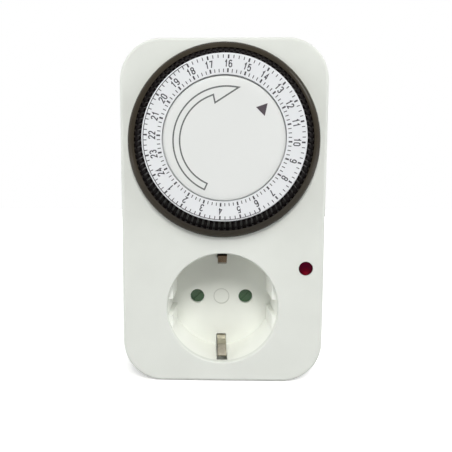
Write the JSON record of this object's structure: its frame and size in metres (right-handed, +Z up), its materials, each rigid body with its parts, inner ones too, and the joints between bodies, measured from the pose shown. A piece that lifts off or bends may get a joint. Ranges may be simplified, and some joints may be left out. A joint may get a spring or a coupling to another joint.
{
  "type": "plug-in timer switch",
  "caption": "Plug-in mains timer: a 24-hour dial with push segments above a round earthed socket, and an earthed two-pin plug on the back.",
  "frame": {"origin": "on the plug's axis, midway between the two pins, at the face they stand out of", "axes": "+Y along the pins towards the wall, +Z up, +X to the right seen from the front"},
  "size_m": [0.0712, 0.0787, 0.118],
  "materials": {
    "shell": "satin",
    "well": "satin",
    "slider": "satin",
    "steel": "satin",
    "pins": "nickel plated",
    "base": "matt",
    "brass": "plain",
    "earth_brass": "nickel plated",
    "green": "satin",
    "dial": "gloss",
    "segment": "satin",
    "scale": "printed",
    "cap": "satin",
    "gear": "satin",
    "copper": "plain",
    "lens": "gloss",
    "lamp_glass": "clear",
    "resistor": "lacquered",
    "wire": "insulated"
  },
  "bodies": {
    "case": {"front_cover": "shell", "rear_cover": "shell", "case_screws": "steel", "socket_well": "well", "shutter_spring": "steel", "contact_base": "base", "contact_sleeves": "brass", "plug_pins": "pins", "earth_strap": "earth_brass", "centre_cap": "cap", "dial_post": "steel", "idler_pin": "steel", "motor_can": "steel", "motor_terminals": "base", "movement_plate": "base", "movement_screws": "steel", "switch_base": "base", "switch_pins": "steel", "contact_spring": "steel", "fixed_contact": "copper", "bypass_rails": "copper", "indicator_lens": "lens", "neon_lamp": "lamp_glass", "lamp_resistor": "resistor", "internal_wires": "wire"},
    "drive_gear": {"drive_gear": "gear", "clutch_washer": "steel"},
    "dial": {"dial_carrier": "dial", "time_scale": "scale"},
    "shutter": {"shutter": "green"},
    "idler": {"idler_gear": "gear"},
    "motor_pinion": {"motor_pinion": "gear"},
    "lever": {"switch_lever": "green"},
    "contact_blade": {"moving_contact": "copper"},
    "slider": {"override_slider": "slider", "bypass_bridge": "copper"},
    "segments_01": {"segments_01": "segment"},
    "segments_02": {"segments_02": "segment"},
    "segments_03": {"segments_03": "segment"},
    "segments_04": {"segments_04": "segment"},
    "segments_05": {"segments_05": "segment"},
    "segments_06": {"segments_06": "segment"},
    "segments_07": {"segments_07": "segment"},
    "segments_08": {"segments_08": "segment"},
    "segments_09": {"segments_09": "segment"},
    "segments_10": {"segments_10": "segment"},
    "segments_11": {"segments_11": "segment"},
    "segments_12": {"segments_12": "segment"},
    "segments_13": {"segments_13": "segment"},
    "segments_14": {"segments_14": "segment"},
    "segments_15": {"segments_15": "segment"},
    "segments_16": {"segments_16": "segment"},
    "segments_17": {"segments_17": "segment"},
    "segments_18": {"segments_18": "segment"},
    "segments_19": {"segments_19": "segment"},
    "segments_20": {"segments_20": "segment"},
    "segments_21": {"segments_21": "segment"},
    "segments_22": {"segments_22": "segment"},
    "segments_23": {"segments_23": "segment"},
    "segments_24": {"segments_24": "segment"}
  },
  "joints": [
    {"name": "drive_turn", "type": "hinge", "parent": "case", "child": "drive_gear", "pos_m": [0, -0.0525, 0.0574], "axis": [0, 1, 0], "continuous": true},
    {"name": "dial_set", "type": "hinge", "parent": "drive_gear", "child": "dial", "pos_m": [0, -0.0525, 0.0574], "axis": [0, 1, 0], "continuous": true},
    {"name": "idler_turn", "type": "hinge", "parent": "case", "child": "idler", "pos_m": [-0.01879, -0.0525, 0.05056], "axis": [0, 1, 0], "continuous": true},
    {"name": "motor_turn", "type": "hinge", "parent": "case", "child": "motor_pinion", "pos_m": [-0.01636, -0.0525, 0.06435], "axis": [0, 1, 0], "continuous": true},
    {"name": "shutter_turn", "type": "hinge", "parent": "case", "child": "shutter", "pos_m": [0, -0.0325, 0], "axis": [0, 1, 0], "range_deg": [0, 40], "stiffness_Nm_per_rad": 0.004, "deforming": ["shutter_spring"]},
    {"name": "override_slide", "type": "slide", "parent": "case", "child": "slider", "axis": [0, 0, 1], "range_m": [0, 0.004]},
    {"name": "lever_turn", "type": "hinge", "parent": "case", "child": "lever", "pos_m": [0.02129, -0.0366, 0.04664], "axis": [-1, 0, 0], "range_deg": [0, 5.3]},
    {"name": "contact_turn", "type": "hinge", "parent": "case", "child": "contact_blade", "pos_m": [0.02129, -0.03365, 0.04914], "axis": [-1, 0, 0], "range_deg": [0, 6.3], "deforming": ["contact_spring"]},
    {"name": "segment_push_01", "type": "slide", "parent": "dial", "child": "segments_01", "axis": [0, 1, 0], "range_m": [0, 0.0025]},
    {"name": "segment_push_02", "type": "slide", "parent": "dial", "child": "segments_02", "axis": [0, 1, 0], "range_m": [0, 0.0025]},
    {"name": "segment_push_03", "type": "slide", "parent": "dial", "child": "segments_03", "axis": [0, 1, 0], "range_m": [0, 0.0025]},
    {"name": "segment_push_04", "type": "slide", "parent": "dial", "child": "segments_04", "axis": [0, 1, 0], "range_m": [0, 0.0025]},
    {"name": "segment_push_05", "type": "slide", "parent": "dial", "child": "segments_05", "axis": [0, 1, 0], "range_m": [0, 0.0025]},
    {"name": "segment_push_06", "type": "slide", "parent": "dial", "child": "segments_06", "axis": [0, 1, 0], "range_m": [0, 0.0025]},
    {"name": "segment_push_07", "type": "slide", "parent": "dial", "child": "segments_07", "axis": [0, 1, 0], "range_m": [0, 0.0025]},
    {"name": "segment_push_08", "type": "slide", "parent": "dial", "child": "segments_08", "axis": [0, 1, 0], "range_m": [0, 0.0025]},
    {"name": "segment_push_09", "type": "slide", "parent": "dial", "child": "segments_09", "axis": [0, 1, 0], "range_m": [0, 0.0025]},
    {"name": "segment_push_10", "type": "slide", "parent": "dial", "child": "segments_10", "axis": [0, 1, 0], "range_m": [0, 0.0025]},
    {"name": "segment_push_11", "type": "slide", "parent": "dial", "child": "segments_11", "axis": [0, 1, 0], "range_m": [0, 0.0025]},
    {"name": "segment_push_12", "type": "slide", "parent": "dial", "child": "segments_12", "axis": [0, 1, 0], "range_m": [0, 0.0025]},
    {"name": "segment_push_13", "type": "slide", "parent": "dial", "child": "segments_13", "axis": [0, 1, 0], "range_m": [0, 0.0025]},
    {"name": "segment_push_14", "type": "slide", "parent": "dial", "child": "segments_14", "axis": [0, 1, 0], "range_m": [0, 0.0025]},
    {"name": "segment_push_15", "type": "slide", "parent": "dial", "child": "segments_15", "axis": [0, 1, 0], "range_m": [0, 0.0025]},
    {"name": "segment_push_16", "type": "slide", "parent": "dial", "child": "segments_16", "axis": [0, 1, 0], "range_m": [0, 0.0025]},
    {"name": "segment_push_17", "type": "slide", "parent": "dial", "child": "segments_17", "axis": [0, 1, 0], "range_m": [0, 0.0025]},
    {"name": "segment_push_18", "type": "slide", "parent": "dial", "child": "segments_18", "axis": [0, 1, 0], "range_m": [0, 0.0025]},
    {"name": "segment_push_19", "type": "slide", "parent": "dial", "child": "segments_19", "axis": [0, 1, 0], "range_m": [0, 0.0025]},
    {"name": "segment_push_20", "type": "slide", "parent": "dial", "child": "segments_20", "axis": [0, 1, 0], "range_m": [0, 0.0025]},
    {"name": "segment_push_21", "type": "slide", "parent": "dial", "child": "segments_21", "axis": [0, 1, 0], "range_m": [0, 0.0025]},
    {"name": "segment_push_22", "type": "slide", "parent": "dial", "child": "segments_22", "axis": [0, 1, 0], "range_m": [0, 0.0025]},
    {"name": "segment_push_23", "type": "slide", "parent": "dial", "child": "segments_23", "axis": [0, 1, 0], "range_m": [0, 0.0025]},
    {"name": "segment_push_24", "type": "slide", "parent": "dial", "child": "segments_24", "axis": [0, 1, 0], "range_m": [0, 0.0025]}
  ],
  "couplings": [
    {"joint": "idler_turn", "follows": "drive_turn", "ratio": -4.7143},
    {"joint": "motor_turn", "follows": "drive_turn", "ratio": 14.143},
    {"joint": "lever_turn", "follows": "segment_push_12", "rad_per_m": 35.714},
    {"joint": "contact_turn", "follows": "segment_push_12", "rad_per_m": 42.526}
  ]
}
